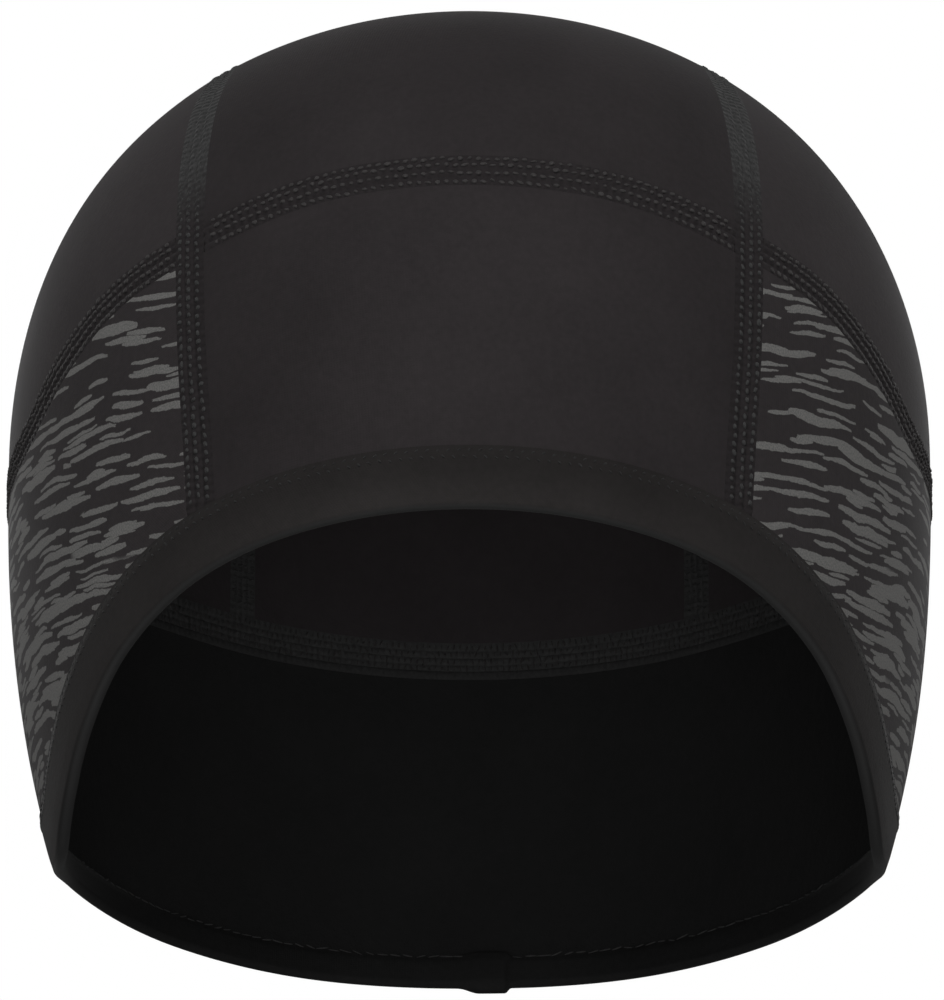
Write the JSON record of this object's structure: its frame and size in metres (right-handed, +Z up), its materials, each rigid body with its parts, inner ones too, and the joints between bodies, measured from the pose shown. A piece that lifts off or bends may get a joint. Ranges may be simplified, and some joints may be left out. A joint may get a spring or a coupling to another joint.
{
  "type": "thermal skull cap",
  "caption": "Close-fitting stretch skull cap with flat-seamed panels, printed lower panel and folded edge binding, shaped as worn.",
  "frame": {"origin": "where the top of the head meets the inside of the crown", "axes": "+Z up, the brow faces -Y, the wearer's left is +X"},
  "size_m": [0.1608, 0.2009, 0.1504],
  "materials": {
    "plain_cloth": "smooth matte knit, brushed inside",
    "printed_cloth": "smooth matte knit with a light grey streaked print outside, brushed inside",
    "seam_thread": "flat seam of stitched thread",
    "binding_cloth": "smooth matte stretch binding"
  },
  "bodies": {
    "root": {"front_panel": "plain_cloth", "crown_panel": "plain_cloth", "side_panel_left": "plain_cloth", "side_panel_right": "plain_cloth", "lower_panel": "printed_cloth", "seam_front_arch": "seam_thread", "seam_back_ring": "seam_thread", "seam_long_left": "seam_thread", "seam_long_right": "seam_thread", "edge_binding": "binding_cloth", "binding_overlap": "binding_cloth"}
  },
  "joints": []
}
